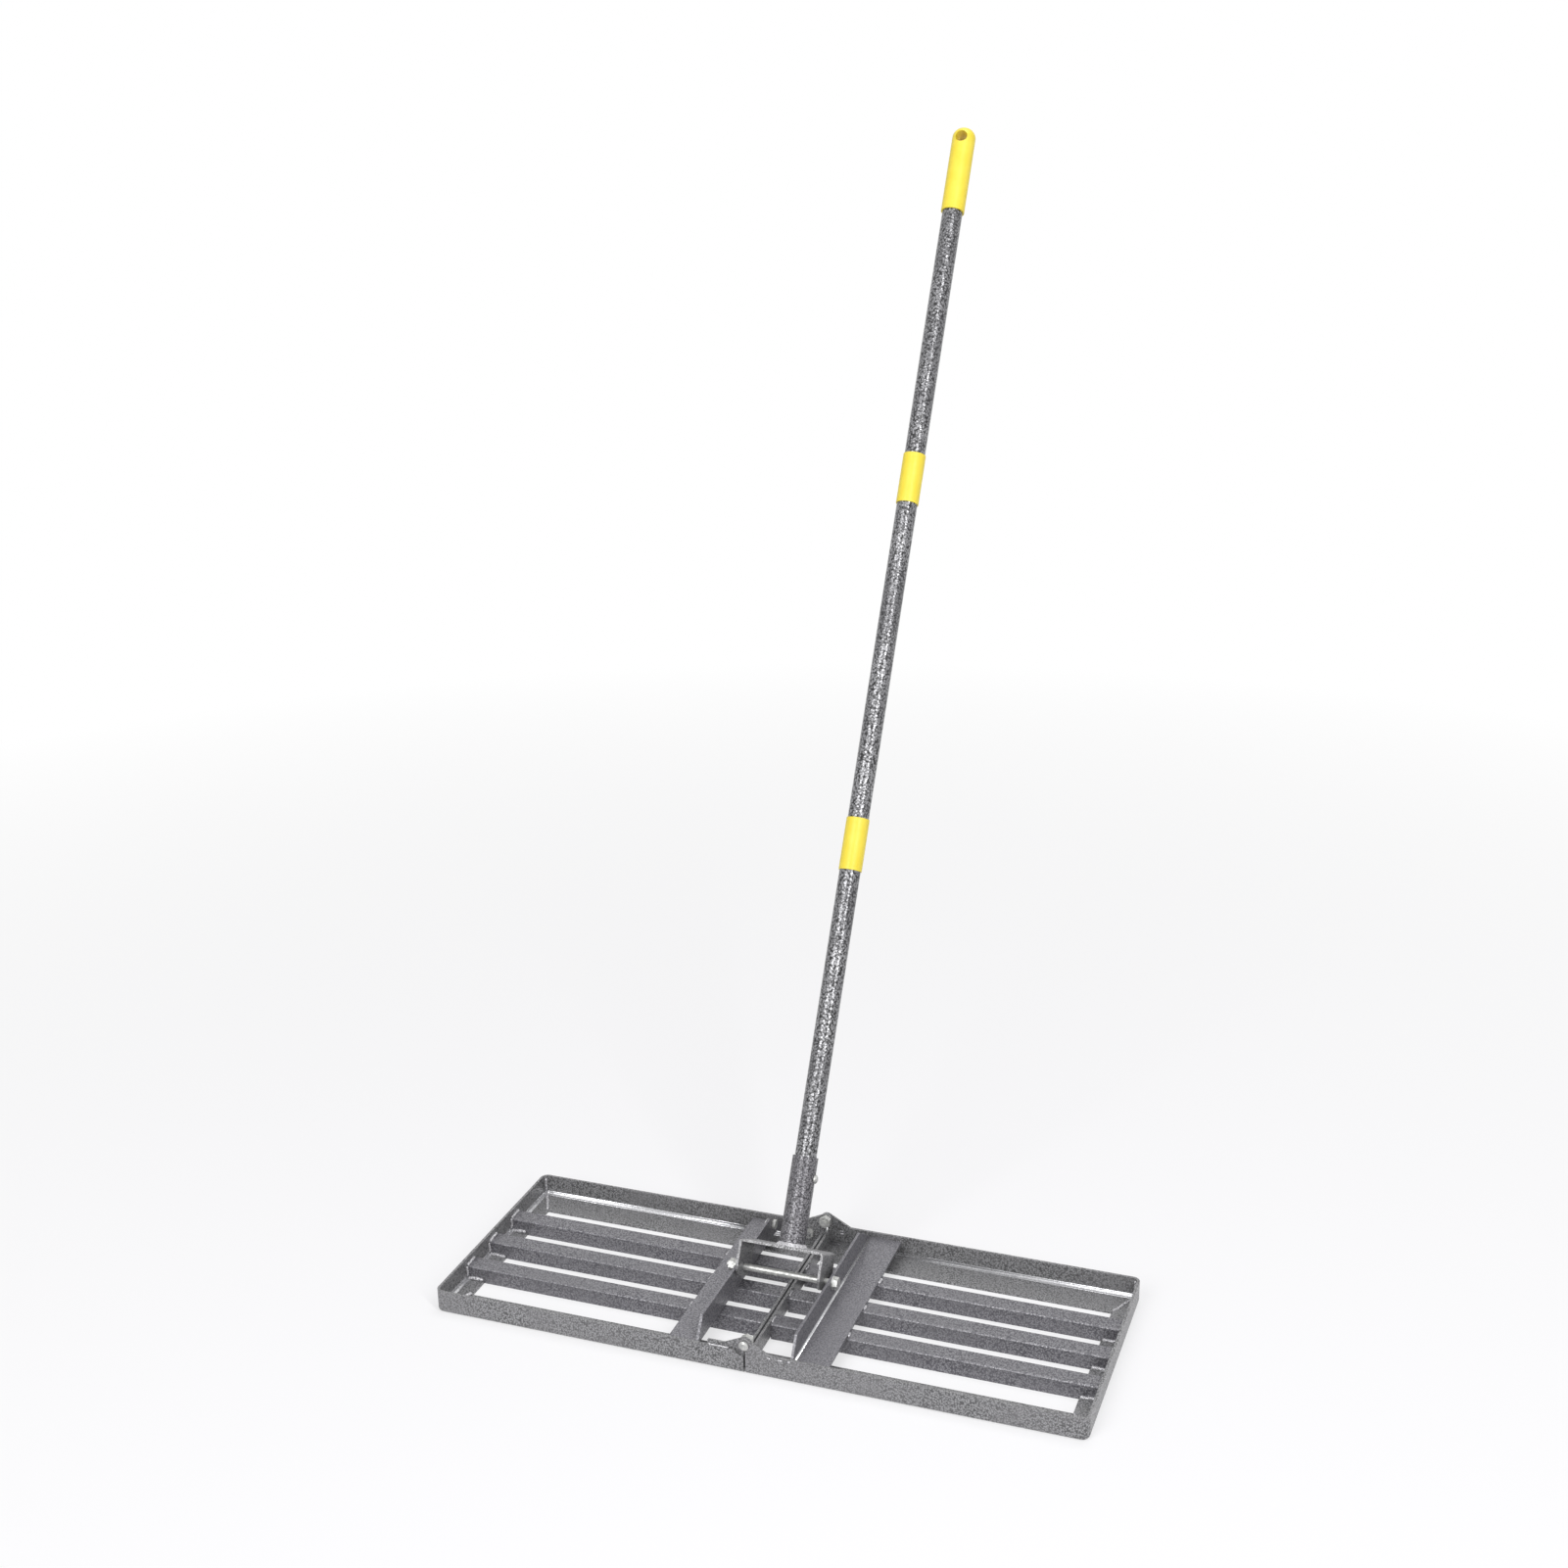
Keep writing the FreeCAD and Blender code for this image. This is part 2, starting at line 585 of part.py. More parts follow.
weld_in = socket_out + " + " + S + "snug"
weld, spin = turned("socket_weld", [(weld_in, start), (weld_in + " + " + S + "weld_leg", start),
                                    (weld_in, start + " + " + S + "weld_leg")])
leaned(weld)

screw, spin = turned("socket_screw", [
    ("0", socket_out + " - 7"), (S + "stud_radius", socket_out + " - 7"),
    (S + "stud_radius", socket_out), (S + "screw_head", socket_out),
    (S + "screw_head", socket_out + " + " + S + "screw_rise / 2"),
    (S + "screw_head * 0.6", socket_out + " + " + S + "screw_rise"),
    ("0", socket_out + " + " + S + "screw_rise")])
along_x(screw, S + "bolt_place + (" + screw_at + ") * sin(" + S + "lean * 1 deg)",
        S + "bolt_height + (" + screw_at + ") * cos(" + S + "lean * 1 deg)")

ends = [start + " + " + S + "tube_seat"]
ends.append(ends[0] + " + " + S + "tube_length")
ends.append(ends[1] + " + " + S + "tube_length")
ends.append(ends[2] + " + " + S + "top_tube_length")
for i, word in enumerate(("lower", "middle", "upper")):
    tube, spin = collar(word + "_tube", S + "tube_radius - " + S + "tube_wall", S + "tube_radius",
                        ends[i], ends[i + 1])
    if i == 0:
        screw_hole(tube, "lower_tube", S + "stud_radius + " + S + "snug")
    leaned(tube)
for i, word in enumerate(("lower", "upper")):
    joint = ends[i + 1]
    plug_out = S + "tube_radius - " + S + "tube_wall - " + S + "snug"
    plug, spin = collar(word + "_joint_plug", plug_out + " - " + S + "plug_wall", plug_out,
                        joint + " - " + S + "plug_length / 2", joint + " + " + S + "plug_length / 2")
    leaned(plug)
    sleeve_in = S + "tube_radius + " + S + "snug"
    sleeve, spin = collar(word + "_sleeve", sleeve_in, sleeve_in + " + " + S + "sleeve_wall",
                          joint + " - " + S + "sleeve_length / 2", joint + " + " + S + "sleeve_length / 2")
    leaned(sleeve)

tip = ends[3] + " + " + S + "grip_end"
mouth = tip + " - " + S + "grip_length"
grip_in = S + "tube_radius + " + S + "snug"
grip_out = grip_in + " + " + S + "grip_wall"
grip_floor = ends[3] + " + " + S + "free_gap"
grip, spin = turned("grip", [(grip_in, mouth), (grip_out, mouth), (grip_out, tip), ("0", tip),
                             ("0", grip_floor), (grip_in, grip_floor)])
doc.recompute()
crown = val(tip)
names = []
for i, edge in enumerate(spin.Shape.Edges):
    box = edge.BoundBox
    if near(box.ZMin, crown) and near(box.ZMax, crown) and box.XLength > 1 and box.YLength > 1:
        names.append("Edge" + str(i + 1))
dome = grip.newObject("PartDesign::Fillet", "grip_dome")
dome.Base = (spin, names)
dome.setExpression("Radius", "(" + grip_out + ") * 0.92")
hang = new_sketch(grip, "XZ_Plane", "grip_hang", "-" + socket_out + " * 2")
ring(hang, "0", tip + " - " + S + "hang_below", S + "hang_radius")
pocket(grip, hang, "grip_hang_hole", reverse=True)
leaned(grip)

# ---------------------------------------------------------------- checks and STEP files
doc.recompute()
members = []
for group in groups:
    members = members + [m.Name for m in group.Links]
count = 0
for thing in doc.Objects:
    for state in thing.State:
        if state in ("Invalid", "Error"):
            raise RuntimeError(thing.Label + " did not build")
    wanted = thing.TypeId == "PartDesign::Body" and thing.Name not in members
    if thing in groups or wanted:
        shape = thing.Shape
        if shape.isNull() or not shape.isValid() or len(shape.Solids) < 1:
            raise RuntimeError(thing.Label + " has no valid solid")
        shape.exportStep("parts/" + thing.Label + ".step")
        count = count + 1
print("wrote", count, "nodes")
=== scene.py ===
import math
import random

import bmesh
import bpy
from mathutils import Matrix, Vector


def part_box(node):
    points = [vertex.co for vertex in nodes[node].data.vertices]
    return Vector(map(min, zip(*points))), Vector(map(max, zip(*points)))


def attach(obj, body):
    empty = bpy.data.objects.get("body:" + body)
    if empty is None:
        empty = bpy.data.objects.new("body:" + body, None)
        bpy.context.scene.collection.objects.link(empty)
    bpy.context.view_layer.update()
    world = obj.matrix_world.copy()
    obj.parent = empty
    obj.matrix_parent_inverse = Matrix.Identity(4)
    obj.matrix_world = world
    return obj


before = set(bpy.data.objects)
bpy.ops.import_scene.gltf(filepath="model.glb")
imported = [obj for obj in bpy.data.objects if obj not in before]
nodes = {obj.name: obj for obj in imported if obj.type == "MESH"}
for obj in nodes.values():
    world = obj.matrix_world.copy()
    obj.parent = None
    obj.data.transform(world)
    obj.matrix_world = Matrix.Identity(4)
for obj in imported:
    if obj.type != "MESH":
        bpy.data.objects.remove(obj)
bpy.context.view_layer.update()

# ---------------------------------------------------------------- angle-iron frame
# Two U-shaped halves of 3 mm mild-steel angle, mitred and welded at the corners and
# sprayed with hammer-finish enamel. The flange turns in along the ground and carries
# the bars, and the upstanding wall pushes and drags the soil.


def linear(hex_code):
    channels = [int(hex_code[i:i + 2], 16) / 255 for i in (1, 3, 5)]
    return [c / 12.92 if c <= 0.04045 else ((c + 0.055) / 1.055) ** 2.4
            for c in channels] + [1.0]


def add(tree, kind, links=None, **settings):
    node = tree.nodes.new(kind)
    for name, value in settings.items():
        setattr(node, name, value)
    for socket, value in (links or {}).items():
        if isinstance(value, bpy.types.NodeSocket):
            tree.links.new(value, node.inputs[socket])
        else:
            node.inputs[socket].default_value = value
    return node


def new_finish(name):
    finish = bpy.data.materials.new(name)
    finish.use_nodes = True
    finish.node_tree.nodes.clear()
    return finish, finish.node_tree


def coat_nodes(finish, *names):
    for name in names:
        for slot in nodes[name].material_slots:
            slot.material = finish


# Hammer-finish enamel over steel: an aluminium-flake paint that draws itself into
# rounded pools about 2 mm wide with darker rims. Each pool is a shallow dimple, so a
# glossy surface breaks into small bright and dark specks under a thin clear gleam.
MM_PER_M = 1000


def hammer_enamel(name, pool_mm, light, dark, rim, metal, gloss, dimple, gleam=0.15):
    wander_mm = pool_mm * 1.6
    wander_reach = pool_mm * 0.0011
    dimple_depth = pool_mm * 0.00022
    flow_mm = 60
    finish, tree = new_finish(name)
    place = add(tree, "ShaderNodeTexCoord").outputs["Object"]

    # The rims wander, so the pools are rounded blots and not straight-sided cells.
    wander = add(tree, "ShaderNodeTexNoise", {
        "Vector": place, "Scale": MM_PER_M / wander_mm, "Detail": 2.0})
    drift = add(tree, "ShaderNodeVectorMath", {
        0: wander.outputs["Color"], 1: (0.5, 0.5, 0.5)}, operation="SUBTRACT")
    shift = add(tree, "ShaderNodeVectorMath", {
        0: drift.outputs[0], "Scale": wander_reach}, operation="SCALE")
    moved = add(tree, "ShaderNodeVectorMath", {0: place, 1: shift.outputs[0]}, operation="ADD")
    pools = add(tree, "ShaderNodeTexVoronoi", {
        "Vector": moved.outputs[0], "Scale": MM_PER_M / pool_mm}, feature="F1")
    from_middle = pools.outputs["Distance"]

    # Light flakes gather in the middle of a pool, and the coat varies slowly along the steel.
    ramp = add(tree, "ShaderNodeValToRGB", {"Fac": from_middle})
    ramp.color_ramp.elements[0].position = 0.12
    ramp.color_ramp.elements[0].color = linear(light)
    ramp.color_ramp.elements[1].position = 0.72
    ramp.color_ramp.elements[1].color = linear(rim)
    flow = add(tree, "ShaderNodeTexNoise", {
        "Vector": place, "Scale": MM_PER_M / flow_mm, "Detail": 3.0})
    shade = add(tree, "ShaderNodeMapRange", {
        "Value": flow.outputs["Fac"], "From Min": 0.35, "From Max": 0.7, "To Min": 0.0,
        "To Max": 0.55})
    tone = add(tree, "ShaderNodeMix", {
        "Factor": shade.outputs[0], 6: ramp.outputs["Color"], 7: linear(dark)},
        data_type="RGBA", blend_type="MIX")

    sheen = add(tree, "ShaderNodeMapRange", {
        "Value": from_middle, "From Min": 0.1, "From Max": 0.7, "To Min": gloss,
        "To Max": gloss + 0.2})
    bump = add(tree, "ShaderNodeBump", {
        "Height": from_middle, "Strength": dimple, "Distance": dimple_depth})
    shader = add(tree, "ShaderNodeBsdfPrincipled", {
        "Base Color": tone.outputs[2], "Roughness": sheen.outputs[0], "Normal": bump.outputs[0],
        "Metallic": metal, "Coat Weight": gleam, "Coat Roughness": 0.2})
    add(tree, "ShaderNodeOutputMaterial", {"Surface": shader.outputs[0]})
    return finish


frame_enamel = hammer_enamel("hammer_finish_enamel_on_angle", pool_mm=1.9, light="#afafb1",
                             dark="#868587", rim="#565657", metal=0.42, gloss=0.3, dimple=0.42)
coat_nodes(frame_enamel, "right_frame", "left_frame", "right_end_plate", "left_end_plate")


# Weld beads are laid by hand along each seam: short overlapping ripples of steel, left as
# laid and painted with the rest. Their colour is drawn lighter than the frame's, with
# near-white specks that are painted glints.
# Widths, pitch and waver are in shares of the bead's radius.
BEAD_SIDES = 8
END_WIDTH = 0.5
CREST_WIDTH = (0.9, 1.15)
DIP_WIDTH = (0.7, 0.85)
RIPPLE_PITCH = 1.3
WAVER = 0.12


def lay_bead(mesh, start, end, radius, dice):
    run = end - start
    ring = bmesh.ops.create_circle(mesh, cap_ends=True, segments=BEAD_SIDES,
                                   radius=radius * END_WIDTH)["verts"]
    turn = run.to_track_quat("Z", "Y").to_matrix().to_4x4()
    bmesh.ops.transform(mesh, matrix=Matrix.Translation(start) @ turn, verts=ring)
    tip = ring[0].link_faces[0]
    steps = 2 * max(2, round(run.length / (radius * RIPPLE_PITCH)))
    width = END_WIDTH
    for step in range(steps):
        grown = bmesh.ops.extrude_face_region(mesh, geom=[tip])["geom"]
        if step > 0:
            bmesh.ops.delete(mesh, geom=[tip], context="FACES_ONLY")
        tip = next(item for item in grown if isinstance(item, bmesh.types.BMFace))
        bmesh.ops.translate(mesh, vec=run / steps, verts=tip.verts)
        wanted = dice.uniform(*CREST_WIDTH) if step % 2 == 0 else dice.uniform(*DIP_WIDTH)
        if step == steps - 1:
            wanted = END_WIDTH
        middle = tip.calc_center_median()
        bmesh.ops.scale(mesh, vec=Vector((1, 1, 1)) * (wanted / width), verts=tip.verts,
                        space=Matrix.Translation(-middle))
        nudge = Vector([dice.uniform(-WAVER, WAVER) * radius for _ in range(3)])
        bmesh.ops.translate(mesh, vec=nudge, verts=tip.verts)
        width = wanted


def add_piece(name, mesh, finish, body, smooth=True):
    bmesh.ops.recalc_face_normals(mesh, faces=mesh.faces)
    data = bpy.data.meshes.new(name)
    mesh.to_mesh(data)
    mesh.free()
    for face in data.polygons:
        face.use_smooth = smooth
    piece = bpy.data.objects.new(name, data)
    bpy.context.scene.collection.objects.link(piece)
    data.materials.append(finish)
    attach(piece, body)
    return piece


# The bead's mottle runs from mid grey to near white, and the near-white specks are painted glints.
spatter_and_glint_mm = 1.4
weld_enamel_painted_glints, tree = new_finish("hammer_finish_enamel_on_weld_painted_glints")
place = add(tree, "ShaderNodeTexCoord").outputs["Object"]
spatter_and_glint = add(tree, "ShaderNodeTexNoise", {
    "Vector": place, "Scale": MM_PER_M / spatter_and_glint_mm, "Detail": 3.0})
ramp = add(tree, "ShaderNodeValToRGB", {"Fac": spatter_and_glint.outputs["Fac"]})
ramp.color_ramp.elements[0].position = 0.35
ramp.color_ramp.elements[0].color = linear("#7a797e")
ramp.color_ramp.elements[1].position = 0.62
ramp.color_ramp.elements[1].color = linear("#e0dfe2")
bump = add(tree, "ShaderNodeBump", {
    "Height": spatter_and_glint.outputs["Fac"], "Strength": 0.6, "Distance": 0.0005})
shader = add(tree, "ShaderNodeBsdfPrincipled", {
    "Base Color": ramp.outputs["Color"], "Normal": bump.outputs[0], "Roughness": 0.32,
    "Metallic": 0.25})
add(tree, "ShaderNodeOutputMaterial", {"Surface": shader.outputs[0]})


# The angle is bent with a rounded root where the wall meets the flange. The root follows
# the front wall, both corners, the end wall and the back wall in one run. The enamel pools
# smooth in its hollow, and its colour there is drawn near white and even, much lighter
# than the frame's: a painted highlight along the bend.
def sweep(mesh, edges, run):
    grown = bmesh.ops.extrude_edge_only(mesh, edges=edges)["geom"]
    ends = [v for v in grown if isinstance(v, bmesh.types.BMVert)]
    bmesh.ops.translate(mesh, vec=run, verts=ends)
    return [e for e in grown if isinstance(e, bmesh.types.BMEdge)]


def turn_corner(mesh, edges, centre, angle):
    spun = bmesh.ops.spin(mesh, geom=edges, cent=centre, axis=(0, 0, 1), angle=angle, steps=8,
                          use_merge=False, use_duplicate=False)["geom_last"]
    return [e for e in spun if isinstance(e, bmesh.types.BMEdge)]


def close_run(mesh):
    open_edges = [e for e in mesh.edges if len(e.link_faces) == 1]
    bmesh.ops.holes_fill(mesh, edges=open_edges)


def draw_profile(mesh, points):
    ring = [mesh.verts.new(point) for point in points]
    return [mesh.edges.new((a, b)) for a, b in zip(ring, ring[1:] + ring[:1])]


# Its light, near-even colours are a painted highlight along the root.
root_enamel_painted_highlight = hammer_enamel("pooled_enamel_in_bends_painted_highlight", pool_mm=3.5, light="#d6d6d8",
                            dark="#b8b8bb", rim="#b4b4b7", metal=0.7, gloss=0.1, dimple=0.1)
STEEL = 0.003
ROOT = 0.004
SUNK = 0.0003
SHY_OF_SPLIT = 0.0002
INNER_CORNER = 0.006

# The root's outline, as distance from the wall's face and height. Its back and underside
# are sunk in the steel.
hollow = [(0.0, STEEL + ROOT)]
for step in range(1, 6):
    angle = math.radians(18 * step)
    hollow.append((ROOT - ROOT * math.cos(angle), STEEL + ROOT - ROOT * math.sin(angle)))
hollow += [(ROOT, STEEL - SUNK), (-SUNK, STEEL - SUNK), (-SUNK, STEEL + ROOT)]

for side, word in ((1, "right"), (-1, "left")):
    low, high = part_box(word + "_frame")
    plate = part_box(word + "_end_plate")
    end_face = (high[0] if side > 0 else low[0]) - side * STEEL
    split = plate[0][0] if side > 0 else plate[1][0]
    front_face = low[1] + STEEL
    long_run = abs(end_face - split) - INNER_CORNER - SHY_OF_SPLIT
    end_run = high[1] - low[1] - 2 * (STEEL + INNER_CORNER)
    root = bmesh.new()
    edges = draw_profile(root, [(split + side * SHY_OF_SPLIT, front_face + across, up)
                                for across, up in hollow])
    edges = sweep(root, edges, Vector((side * long_run, 0, 0)))
    centre = Vector((end_face - side * INNER_CORNER, front_face + INNER_CORNER, 0))
    edges = turn_corner(root, edges, centre, side * math.pi / 2)
    edges = sweep(root, edges, Vector((0, end_run, 0)))
    centre.y = high[1] - STEEL - INNER_CORNER
    edges = turn_corner(root, edges, centre, side * math.pi / 2)
    sweep(root, edges, Vector((-side * long_run, 0, 0)))
    close_run(root)
    add_piece(word + "_angle_root", root, root_enamel_painted_highlight, word + "_half")

# A bead runs up each inside corner, and another along the mitre of the two flanges.
END_FLANGE = 0.025
SIDE_FLANGE = 0.041
CORNER_IN = 0.0052
CORNER_TOP = 0.0225
UPRIGHT_RADIUS = 0.0017
MITRE_RADIUS = 0.0021
for side, word in ((1, "right"), (-1, "left")):
    low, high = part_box(word + "_frame")
    outer = high[0] if side > 0 else low[0]
    beads = bmesh.new()
    dice = random.Random(11 + side)
    for depth in (low[1], high[1]):
        inward = 1 if depth < 0 else -1
        corner = Vector((outer - side * CORNER_IN, depth + inward * CORNER_IN, STEEL))
        inner = Vector((outer - side * END_FLANGE, depth + inward * SIDE_FLANGE, STEEL + 0.0003))
        lay_bead(beads, corner + Vector((0, 0, 0.0004)), corner + Vector((0, 0, CORNER_TOP)),
                 UPRIGHT_RADIUS, dice)
        lay_bead(beads, corner + Vector((0, 0, 0.0003)), inner.lerp(corner, 0.03),
                 MITRE_RADIUS, dice)
    add_piece(word + "_corner_welds", beads, weld_enamel_painted_glints, word + "_half")

# ---------------------------------------------------------------- angle bars
# Six lengths of light pressed angle run along the frame, three in each half. They are
# welded to the end flange, the end wall and the middle plate, and share the frame's coat.
# The frame's enamel, drawn darker here: painted shade on the bars.
bar_enamel_painted_shade = hammer_enamel("hammer_finish_enamel_on_bars_painted_shade", pool_mm=1.9, light="#99989c",
                           dark="#737276", rim="#515056", metal=0.4, gloss=0.3, dimple=0.4)

# Each bar has a bead along its foot on the end flange, one along its shoulder and one up
# its leg against the end wall, and a short one where it meets the middle plate.
FOOT_RUN, FOOT_RADIUS = 0.02, 0.0024
SHOULDER_RUN, SHOULDER_RADIUS = 0.018, 0.0021
LEG_START, LEG_RADIUS = 0.006, 0.0018
MIDDLE_RUN, MIDDLE_RADIUS = 0.012, 0.0017
for side, word in ((1, "right"), (-1, "left")):
    beads = bmesh.new()
    dice = random.Random(31 + side)
    for row in ("front", "middle", "back"):
        coat_nodes(bar_enamel_painted_shade, word + "_" + row + "_bar")
        low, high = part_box(word + "_" + row + "_bar")
        end_wall = high[0] if side > 0 else low[0]
        middle_plate = low[0] if side > 0 else high[0]
        foot = Vector((end_wall - side * 0.001, low[1] - 0.0007, STEEL + 0.0007))
        lay_bead(beads, foot, foot - Vector((side * FOOT_RUN, 0, 0)), FOOT_RADIUS, dice)
        shoulder = Vector((end_wall - side * 0.0006, low[1] + 0.001, high[2] + 0.0004))
        lay_bead(beads, shoulder, shoulder + Vector((0, SHOULDER_RUN, 0)), SHOULDER_RADIUS, dice)
        leg = Vector((end_wall - side * 0.0006, low[1] - 0.0004, LEG_START))
        lay_bead(beads, leg, Vector((leg.x, leg.y, high[2] - 0.001)), LEG_RADIUS, dice)
        inner = Vector((middle_plate + side * 0.0005, low[1] + 0.004, high[2] + 0.0002))
        lay_bead(beads, inner, inner + Vector((0, MIDDLE_RUN, 0)), MIDDLE_RADIUS, dice)
    add_piece(word + "_bar_welds", beads, weld_enamel_painted_glints, word + "_half")

# ---------------------------------------------------------------- pivot brackets
# Two bent angles of 3 mm plate stand each side of the split. Their flanges lie on the
# bars and are welded along the outer edge, and their walls carry the pole's pivot bolt.
# The frame's enamel, drawn darker here: painted shade on the brackets.
bracket_enamel_painted_shade = hammer_enamel("hammer_finish_enamel_on_brackets_painted_shade", pool_mm=1.9, light="#9b9a9e",
                               dark="#76757a", rim="#5b5a60", metal=0.4, gloss=0.3, dimple=0.4)
coat_nodes(bracket_enamel_painted_shade, "right_bracket", "left_bracket")

# The brackets' bend is half as wide as the angle's. Its root stops just inside their ends,
# and follows the outer face of each wall, whose place along the frame is given here.
small_hollow = [(across * 0.5, (up - STEEL) * 0.5 + STEEL) for across, up in hollow]
END_SHY = 0.0005
EDGE_RUN, EDGE_RADIUS = 0.009, 0.0021
for side, word, wall in ((1, "right", 0.055), (-1, "left", -0.0598)):
    low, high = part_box(word + "_bracket")
    edge = high[0] if side > 0 else low[0]
    beads = bmesh.new()
    dice = random.Random(51 + side)
    for row in ("front", "middle", "back"):
        bar_low, bar_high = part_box(word + "_" + row + "_bar")
        seam = Vector((edge + side * 0.0005, bar_low[1] + 0.004, bar_high[2] + 0.0006))
        lay_bead(beads, seam, seam + Vector((0, EDGE_RUN, 0)), EDGE_RADIUS, dice)
    add_piece(word + "_bracket_welds", beads, weld_enamel_painted_glints, word + "_half")
    bar_top = bar_high[2]
    root = bmesh.new()
    edges = draw_profile(root, [(wall + side * across, low[1] + END_SHY, bar_top + up)
                                for across, up in small_hollow])
    sweep(root, edges, Vector((0, high[1] - low[1] - 2 * END_SHY, 0)))
    close_run(root)
    add_piece(word + "_bracket_root", root, root_enamel_painted_highlight, word + "_half")

# ---------------------------------------------------------------- fold hinge leaves
# Two flat plates with rounded ears are bolted inside the left half's walls. They lap the
# ears of the right half, so that the frame can fold for storage.
coat_nodes(frame_enamel, "front_hinge_leaf", "back_hinge_leaf", "front_leaf_studs",
           "back_leaf_studs")

# A bead along the rim closes each leaf to its wall. On the right half small tacks show
# beside the front ear and inside the back one.
LEAF_BEAD = (-0.043, -0.019)
FRONT_TACKS = ((0.0265, 0.004), (0.0385, 0.0055), (0.05, 0.0035))
BACK_TACK_START, BACK_TACK_RUN = 0.017, 0.0045
low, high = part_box("left_frame")
rim = high[2] - 0.0002
beads = bmesh.new()
dice = random.Random(71)
for depth in (low[1] + 0.0022, high[1] - 0.0022):
    lay_bead(beads, *[Vector((along, depth, rim)) for along in LEAF_BEAD], 0.0013, dice)
add_piece("left_leaf_welds", beads, weld_enamel_painted_glints, "left_half")

beads = bmesh.new()
dice = random.Random(73)
for along, length in FRONT_TACKS:
    start = Vector((along, low[1] + 0.0003, rim - 0.0022))
    lay_bead(beads, start, start + Vector((length, 0, 0)), 0.0011, dice)
for up in (0.019, 0.0225):
    start = Vector((BACK_TACK_START, high[1] - STEEL - 0.0002, up))
    lay_bead(beads, start, start + Vector((BACK_TACK_RUN, 0, 0)), 0.0009, dice)
add_piece("right_ear_tacks", beads, weld_enamel_painted_glints, "right_half")

# ---------------------------------------------------------------- bolts, nuts and washers
# Bright zinc-plated steel fasteners. The plating is thin and slightly cloudy, with small
# bright flats on the nuts and fine turning marks left on the shanks.
cloud_mm = 3.5
mark_mm = 2.5
zinc, tree = new_finish("bright_zinc_plate")
place = add(tree, "ShaderNodeTexCoord").outputs["Object"]
cloud = add(tree, "ShaderNodeTexNoise", {
    "Vector": place, "Scale": MM_PER_M / cloud_mm, "Detail": 4.0})
ramp = add(tree, "ShaderNodeValToRGB", {"Fac": cloud.outputs["Fac"]})
ramp.color_ramp.elements[0].position = 0.3
ramp.color_ramp.elements[0].color = linear("#9fa09f")
ramp.color_ramp.elements[1].position = 0.7
ramp.color_ramp.elements[1].color = linear("#d0d0cd")
dull = add(tree, "ShaderNodeMapRange", {
    "Value": cloud.outputs["Fac"], "From Min": 0.3, "From Max": 0.7, "To Min": 0.46,
    "To Max": 0.32})
marks = add(tree, "ShaderNodeTexNoise", {
    "Vector": place, "Scale": MM_PER_M / mark_mm, "Detail": 1.0})
bump = add(tree, "ShaderNodeBump", {
    "Height": marks.outputs["Fac"], "Strength": 0.03, "Distance": 0.0001})
shader = add(tree, "ShaderNodeBsdfPrincipled", {
    "Base Color": ramp.outputs["Color"], "Roughness": dull.outputs[0],
    "Normal": bump.outputs[0], "Metallic": 0.6})
add(tree, "ShaderNodeOutputMaterial", {"Surface": shader.outputs[0]})
coat_nodes(zinc, "front_hinge_bolt", "front_hinge_nut", "back_hinge_bolt", "back_hinge_nut",
           "front_leaf_nuts", "back_leaf_nuts",
           "left_bracket_bolt", "left_bracket_nut", "pivot_bolt", "pivot_nut", "pivot_nut_washer",
           "pivot_spring_washer", "pivot_head_washer", "socket_screw")

# ---------------------------------------------------------------- yoke and socket
# A U-shaped yoke is bent from 3 mm strip and hangs on the pivot bolt. A short tube is
# welded to its crosspiece all round, and one screw holds the pole in it.
coat_nodes(frame_enamel, "yoke")
# The socket's enamel is the frame's, drawn much darker: painted shade on its round sides.
socket_enamel_painted_shade = hammer_enamel("hammer_finish_enamel_on_socket_painted_shade", pool_mm=2.0, light="#939196",
                              dark="#525155", rim="#2c2b2f", metal=0.5, gloss=0.28, dimple=0.35,
                              gleam=0.4)
coat_nodes(socket_enamel_painted_shade, "pole_socket")
coat_nodes(weld_enamel_painted_glints, "socket_weld")

# ---------------------------------------------------------------- pole tubes
# Three lengths of 25.4 mm welded steel tube with the same hammer finish, laid on thicker
# and glossier, so that it glints along the light. Its colour is drawn far darker than the
# frame's, from light pool middles to near-black rims: painted shade on the tube's sides,
# and painted glints in coarse specks. The real pools are about 2 mm wide and are drawn at
# 2.5 mm here, because finer ones blur to a flat grey.
tube_enamel_painted_shade_and_glints = hammer_enamel("hammer_finish_enamel_on_tube_painted_shade_and_glints", pool_mm=2.5, light="#b4b4b7",
                            dark="#3c3b3f", rim="#050506", metal=0.7, gloss=0.25, dimple=0.4,
                            gleam=0.6)
coat_nodes(tube_enamel_painted_shade_and_glints, "lower_tube", "middle_tube", "upper_tube")

# ---------------------------------------------------------------- joint plugs
# Black moulded nylon plugs with a coarse thread screw each length of pole into the next.
# They are hidden inside the sleeves once the pole is put together.
grain_mm = 1.2
nylon, tree = new_finish("moulded_black_nylon")
place = add(tree, "ShaderNodeTexCoord").outputs["Object"]
grain = add(tree, "ShaderNodeTexNoise", {
    "Vector": place, "Scale": MM_PER_M / grain_mm, "Detail": 3.0})
ramp = add(tree, "ShaderNodeValToRGB", {"Fac": grain.outputs["Fac"]})
ramp.color_ramp.elements[0].color = linear("#17171a")
ramp.color_ramp.elements[1].color = linear("#2b2b2f")
bump = add(tree, "ShaderNodeBump", {
    "Height": grain.outputs["Fac"], "Strength": 0.25, "Distance": 0.0003})
shader = add(tree, "ShaderNodeBsdfPrincipled", {
    "Base Color": ramp.outputs["Color"], "Normal": bump.outputs[0], "Roughness": 0.5,
    "IOR": 1.53})
add(tree, "ShaderNodeOutputMaterial", {"Surface": shader.outputs[0]})
coat_nodes(nylon, "lower_joint_plug", "upper_joint_plug")

